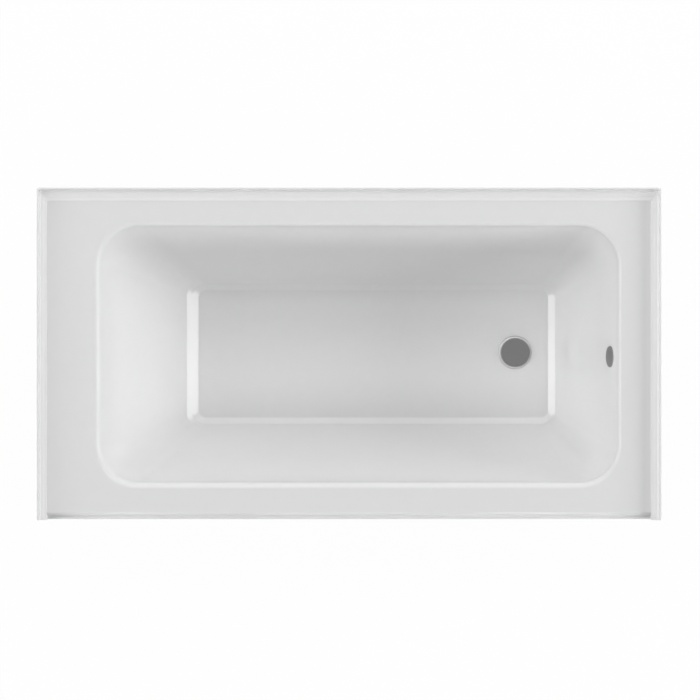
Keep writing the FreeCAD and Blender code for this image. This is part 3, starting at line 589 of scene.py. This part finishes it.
pad = turn_piece("pad_pattern", (
    (0.0, 0.0),
    (pad_radius - 0.001, 0.0),
    (pad_radius, 0.001),
    (pad_radius, pad_base - 0.002),
    (pad_radius - 0.0006, pad_base - 0.0006),
    (pad_radius - 0.002, pad_base),
    (neck_radius + 0.003, pad_base + 0.0004),
    (neck_radius + 0.0008, pad_base + 0.0012),
    (neck_radius, pad_base + 0.003),
    (neck_radius, pad_height - 0.001),
    (neck_radius - 0.001, pad_height),
    (socket_radius, pad_height),
    (socket_radius, socket_floor),
    (0.0, socket_floor),
), (0, 0), 48)
finish_smooth(pad, 35)
foot_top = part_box("foot_spindle_1")[1].z
threads = [(0.0, socket_floor), (spindle_radius, socket_floor), (spindle_radius, thread_start)]
thread_count = int((foot_top - plain_end - hexagon_high) / thread_pitch)
for number in range(thread_count):
    level = thread_start + thread_pitch * number
    threads.append((spindle_radius - thread_depth, level + thread_pitch * 0.5))
    threads.append((spindle_radius, level + thread_pitch))
threads += [(spindle_radius - 0.001, foot_top), (0.0, foot_top)]
spindle = turn_piece("spindle_pattern", threads, (0, 0), 24)
bpy.ops.mesh.select_all(action="DESELECT")
bpy.ops.mesh.primitive_cylinder_add(
    vertices=6, radius=hexagon_across / 2 / cos(pi / 6), depth=hexagon_high - hexagon_low,
    location=(0, 0, (hexagon_low + hexagon_high) / 2),
)
bpy.ops.mesh.bevel(offset=hexagon_edge, offset_type="OFFSET", segments=2, affect="EDGES")
finish_smooth(spindle, 28)
for number in range(1, 7):
    foot_low, foot_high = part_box("foot_pad_%d" % number)
    middle = (foot_low + foot_high) / 2
    shift = Vector((middle.x, middle.y, 0))
    body = "foot_%d" % number
    foot_pad = copy_piece(pad, "moulded_pad_%d" % number, shift)
    set_piece(foot_pad, moulded_black, "foot_plastic", body, "foot_pad_%d" % number)
    foot_spindle = copy_piece(spindle, "threaded_spindle_%d" % number, shift)
    set_piece(foot_spindle, zinc, "zinc_steel", body, "foot_spindle_%d" % number)
for pattern in (pad, spindle):
    bpy.data.objects.remove(pattern)

# The apron is a panel of the same acrylic with its edges turned back. Its top tucks up behind the
# skirt on spring clips, and its foot is screwed to angle brackets on the cross rails.
apron_wall, apron_round = 0.005, 0.003
low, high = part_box("front_apron")
apron = start_block("apron_panel", low, high)
select_faces(apron, lambda facing, place: facing.y > 0.9)
bpy.ops.mesh.delete(type="FACE")
select_edges(apron, lambda a, b: max(a.y, b.y) < low.y + hair)
bpy.ops.mesh.bevel(offset=apron_round, offset_type="OFFSET", segments=5, affect="EDGES")
bpy.ops.mesh.select_mode(type="VERT")
finish_smooth(apron, 40)
apply_modifier(apron, "SOLIDIFY", thickness=apron_wall, offset=-1)
set_piece(apron, acrylic, "acrylic", "tub", "front_apron")
plank("apron_batten", 0.0008, grain_along_x, "timber")
for node in ("apron_clips", "apron_brackets", "bracket_bolts"):
    eased_copy(node, 0.0003, zinc, "zinc_steel")
eased_copy("apron_screws", 0.0003, bright_screw, "screw_metal")

# The drain is a flanged, threaded body screwed down through the floor into the shoe, and a cross of
# bars under it holds the stopper's post. Its flange is plated brighter than the grey cap.
satin_plate = make_finish(
    "satin_grey_plate", (0.31, 0.31, 0.315), (0.35, 0.35, 0.355), (0.28, 0.36),
    ("ShaderNodeTexNoise", {"Scale": 700.0, "Detail": 2.0}), relief=0.03, depth=0.0002, metal=1.0,
)
bright_plate = make_finish(
    "bright_plate", (0.50, 0.50, 0.50), (0.57, 0.57, 0.57), (0.38, 0.46),
    ("ShaderNodeTexNoise", {"Scale": 500.0, "Detail": 2.0}), relief=0.02, depth=0.0002, metal=1.0,
)
machined_brass = make_finish(
    "machined_brass", (0.58, 0.42, 0.17), (0.72, 0.55, 0.27), (0.22, 0.36),
    ("ShaderNodeTexNoise", {"Scale": 60.0}),
    stretch=(1, 1, 40), relief=0.06, depth=0.0002, metal=1.0,
)
moulded_rubber = make_finish(
    "moulded_rubber", (0.020, 0.020, 0.020), (0.035, 0.035, 0.035), (0.55, 0.75),
    ("ShaderNodeTexNoise", {"Scale": 350.0, "Detail": 3.0}), relief=0.2, depth=0.0003,
)
flange_radius, flange_thick = 0.044, 0.0026
barrel_radius, bore_radius, barrel_length = 0.023, 0.0195, 0.030
bar_width, bar_height, bar_edge, boss_radius = 0.004, 0.005, 0.0004, 0.006
barrel_foot = well_floor - barrel_length
flange_top = well_floor + flange_thick
drain_body = turn_piece("drain_body", (
    (bore_radius, barrel_foot),
    (barrel_radius, barrel_foot),
    (barrel_radius, well_floor),
    (flange_radius - 0.0004, well_floor),
    (flange_radius, well_floor + 0.0005),
    (flange_radius - 0.0008, well_floor + 0.0017),
    (flange_radius - 0.0024, flange_top),
    (bore_radius + 0.003, flange_top),
    (bore_radius + 0.0008, flange_top - 0.0008),
    (bore_radius, flange_top - 0.003),
    (bore_radius, barrel_foot),
), (drain_x, drain_y), 96)
bar_middle = Vector((drain_x, drain_y, barrel_foot + bar_height * 1.5))
boss_middle = bar_middle - Vector((0, 0, bar_height / 2))
bar_reach = barrel_radius + bore_radius
for size in ((bar_reach, bar_width, bar_height), (bar_width, bar_reach, bar_height)):
    bpy.ops.mesh.select_all(action="DESELECT")
    bpy.ops.mesh.primitive_cube_add(size=1, location=bar_middle)
    bpy.ops.transform.resize(value=size, center_override=bar_middle)
    bpy.ops.mesh.bevel(offset=bar_edge, offset_type="OFFSET", segments=1, affect="EDGES")
bpy.ops.mesh.select_all(action="DESELECT")
bpy.ops.mesh.primitive_cylinder_add(
    vertices=32, radius=boss_radius, depth=2 * bar_height, location=boss_middle,
)
bpy.ops.mesh.bevel(offset=bar_edge, offset_type="OFFSET", segments=1, affect="EDGES")
finish_smooth(drain_body, 38)
set_piece(drain_body, bright_plate, "fitting_metal", "tub", "drain_flange")
eased_copy("stopper_post", 0.0003, machined_brass, "brass")
eased_copy("stopper_spring", 0, bright_screw, "spring_steel")
eased_copy("drain_gasket", 0.0004, moulded_rubber, "seal_rubber")

# The stopper is a plated cap on a sleeve that slides on the post. It is lifted and let down by
# hand, and a flat rubber ring under the cap closes the drain.
cap_low, cap_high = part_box("stopper_cap")
cap_radius = (cap_high.x - cap_low.x) / 2
cap_top, sleeve_foot = cap_high.z, cap_low.z
cap_thick = 0.004
cap_floor = cap_top - cap_thick
sleeve_radius, sleeve_bore = 0.009, 0.0061
cap = turn_piece("plated_cap", (
    (0.0, cap_top - 0.0003),
    (cap_radius * 0.6, cap_top - 0.0001),
    (cap_radius - 0.0030, cap_top),
    (cap_radius - 0.0014, cap_top),
    (cap_radius - 0.0008, cap_top - 0.0001),
    (cap_radius - 0.0003, cap_top - 0.0004),
    (cap_radius, cap_top - 0.0010),
    (cap_radius, cap_floor + 0.0004),
    (cap_radius - 0.0004, cap_floor),
    (sleeve_radius, cap_floor),
    (sleeve_radius, sleeve_foot + 0.0005),
    (sleeve_radius - 0.0005, sleeve_foot),
    (sleeve_bore, sleeve_foot),
    (sleeve_bore, cap_floor),
    (0.0, cap_floor),
), (drain_x, drain_y), 96)
finish_smooth(cap, 38)
set_piece(cap, satin_plate, "fitting_metal", "stopper", "stopper_cap")
eased_copy("stopper_seal", 0.0003, moulded_rubber, "seal_rubber", body="stopper")

# Under the floor the waste is white tubular plastic: a shoe, a pipe to a tee, the overflow pipe up
# behind the wall and a tailpiece down, with slip nuts and soft washers at the joints.
waste_plastic = make_finish(
    "waste_plastic", (0.74, 0.74, 0.72), (0.80, 0.80, 0.78), (0.28, 0.40),
    ("ShaderNodeTexNoise", {"Scale": 120.0, "Detail": 3.0}), relief=0.05, depth=0.0004,
)
nut_plastic = make_finish(
    "nut_plastic", (0.69, 0.69, 0.67), (0.76, 0.76, 0.74), (0.36, 0.50),
    ("ShaderNodeTexNoise", {"Scale": 220.0, "Detail": 3.0}), relief=0.10, depth=0.0004,
)
washer_plastic = make_finish(
    "washer_plastic", (0.60, 0.60, 0.57), (0.70, 0.70, 0.66), (0.40, 0.55),
    ("ShaderNodeTexNoise", {"Scale": 160.0}), relief=0.05, depth=0.0003,
)
for node in ("drain_shoe", "waste_tee", "overflow_elbow"):
    eased_copy(node, 0.0005, waste_plastic, "waste_plastic", angle=50)
for node in ("waste_pipe", "overflow_pipe", "tailpiece"):
    eased_copy(node, 0.0004, waste_plastic, "waste_plastic")
eased_copy("slip_nuts", 0.0004, nut_plastic, "nut_plastic", angle=50)
eased_copy("slip_washers", 0.0002, washer_plastic, "washer_plastic")

# The overflow is clamped through the wall under the rim by a slim ring, with a thick gasket behind.
# Its round cover pushes over the ring, and the water goes in by a slot at the lower edge.
eased_copy("overflow_gasket", 0.0006, moulded_rubber, "seal_rubber")
eased_copy("overflow_lock_ring", 0.0002, machined_brass, "brass")
eased_copy("overflow_cover", 0.0003, satin_plate, "fitting_metal")

# Studio: a white floor, a white room that only shows in reflections and behind the tub, and soft
# panels on all four sides, the right-hand one the strongest. The camera is straight above.
floor_size, floor_paint, floor_roughness = 30, 0.9, 0.8
floor_glow = 0.97
room_light = 0.01
overhead_start, overhead_end = 0.70, 0.98
room_side, room_overhead = 0.80, 0.28
panel_reach = 6.5
panel_centre = Vector((0, 0, 0.3))


def seen_rays(tree):
    """Is 1 for rays from the camera, in reflections or through glass, and 0 for light on the tub."""
    rays = tree.nodes.new("ShaderNodeLightPath")
    seen = rays.outputs["Is Camera Ray"]
    for kind in ("Is Glossy Ray", "Is Transmission Ray"):
        either = tree.nodes.new("ShaderNodeMath")
        either.operation = "MAXIMUM"
        tree.links.new(seen, either.inputs[0])
        tree.links.new(rays.outputs[kind], either.inputs[1])
        seen = either.outputs[0]
    return seen


bpy.ops.mesh.primitive_plane_add(size=floor_size, location=(0, 0, 0))
ground = bpy.context.object
ground.name = "studio_floor"
paint = bpy.data.materials.new("studio_floor")
paint.use_nodes = True
tree = paint.node_tree
shader = tree.nodes["Principled BSDF"]
shader.inputs["Base Color"].default_value = (floor_paint, floor_paint, floor_paint, 1)
shader.inputs["Roughness"].default_value = floor_roughness
glow = tree.nodes.new("ShaderNodeEmission")
blend = tree.nodes.new("ShaderNodeMixShader")
part = tree.nodes.new("ShaderNodeMath")
part.operation = "MULTIPLY"
part.inputs[1].default_value = floor_glow
tree.links.new(seen_rays(tree), part.inputs[0])
tree.links.new(part.outputs[0], blend.inputs["Fac"])
tree.links.new(shader.outputs[0], blend.inputs[1])
tree.links.new(glow.outputs[0], blend.inputs[2])
tree.links.new(blend.outputs[0], tree.nodes["Material Output"].inputs["Surface"])
ground.data.materials.append(paint)
ground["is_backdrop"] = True

world = bpy.data.worlds.new("studio_room")
bpy.context.scene.world = world
world.use_nodes = True
tree = world.node_tree
room = tree.nodes["Background"]
room.inputs["Color"].default_value = (1, 1, 1, 1)
room.inputs["Strength"].default_value = room_light
seen_room = tree.nodes.new("ShaderNodeBackground")
seen_room.inputs["Color"].default_value = (1, 1, 1, 1)
direction = tree.nodes.new("ShaderNodeTexCoord")
height = tree.nodes.new("ShaderNodeSeparateXYZ")
ceiling = tree.nodes.new("ShaderNodeMapRange")
ceiling.inputs["From Min"].default_value = overhead_start
ceiling.inputs["From Max"].default_value = overhead_end
ceiling.inputs["To Min"].default_value = room_side
ceiling.inputs["To Max"].default_value = room_overhead
rays = tree.nodes.new("ShaderNodeLightPath")
backdrop = tree.nodes.new("ShaderNodeMath")
backdrop.operation = "MAXIMUM"
choose = tree.nodes.new("ShaderNodeMixShader")
tree.links.new(direction.outputs["Generated"], height.inputs["Vector"])
tree.links.new(height.outputs["Z"], ceiling.inputs["Value"])
tree.links.new(ceiling.outputs["Result"], backdrop.inputs[0])
tree.links.new(rays.outputs["Is Camera Ray"], backdrop.inputs[1])
tree.links.new(backdrop.outputs[0], seen_room.inputs["Strength"])
tree.links.new(seen_rays(tree), choose.inputs["Fac"])
tree.links.new(room.outputs[0], choose.inputs[1])
tree.links.new(seen_room.outputs[0], choose.inputs[2])
tree.links.new(choose.outputs[0], tree.nodes["World Output"].inputs["Surface"])


def hang_panel(name, azimuth, elevation, length, height, power):
    """A soft panel that faces the tub from a direction, given in degrees."""
    data = bpy.data.lights.new(name, "AREA")
    data.shape = "RECTANGLE"
    data.size = length
    data.size_y = height
    data.energy = power
    panel = bpy.data.objects.new(name, data)
    bpy.context.scene.collection.objects.link(panel)
    turn, tilt = radians(azimuth), radians(elevation)
    aim = Vector((cos(turn) * cos(tilt), sin(turn) * cos(tilt), sin(tilt)))
    panel.location = panel_centre + panel_reach * aim
    panel.rotation_euler = aim.to_track_quat("Z", "Y").to_euler()


hang_panel("panel_right", 0, 22, 6.9, 2.5, 236)
hang_panel("panel_left_low", 180, 10, 6.9, 1.73, 74)
hang_panel("panel_left_middle", 180, 22, 3.0, 2.0, 82)
hang_panel("panel_left_high", 180, 40, 6.9, 1.73, 52)
hang_panel("panel_back_low", 90, 12, 6.9, 1.73, 58)
hang_panel("panel_back_middle", 90, 30, 6.9, 1.73, 46)
hang_panel("panel_back_high", 90, 50, 6.9, 1.73, 66)
hang_panel("panel_back_top", 90, 68, 6.9, 1.73, 84)
hang_panel("panel_front_low", 270, 12, 6.9, 1.73, 112)
hang_panel("panel_front_high", 270, 60, 6.9, 1.73, 64)

camera_data = bpy.data.cameras.new("camera")
camera = bpy.data.objects.new("camera", camera_data)
bpy.context.scene.collection.objects.link(camera)
camera.location = (0.00245, 0.0105, 5.290)
camera_data.lens = 100.76
camera_data.sensor_width = 36.0
bpy.context.scene.camera = camera
bpy.context.scene.view_settings.view_transform = "Standard"

low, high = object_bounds()
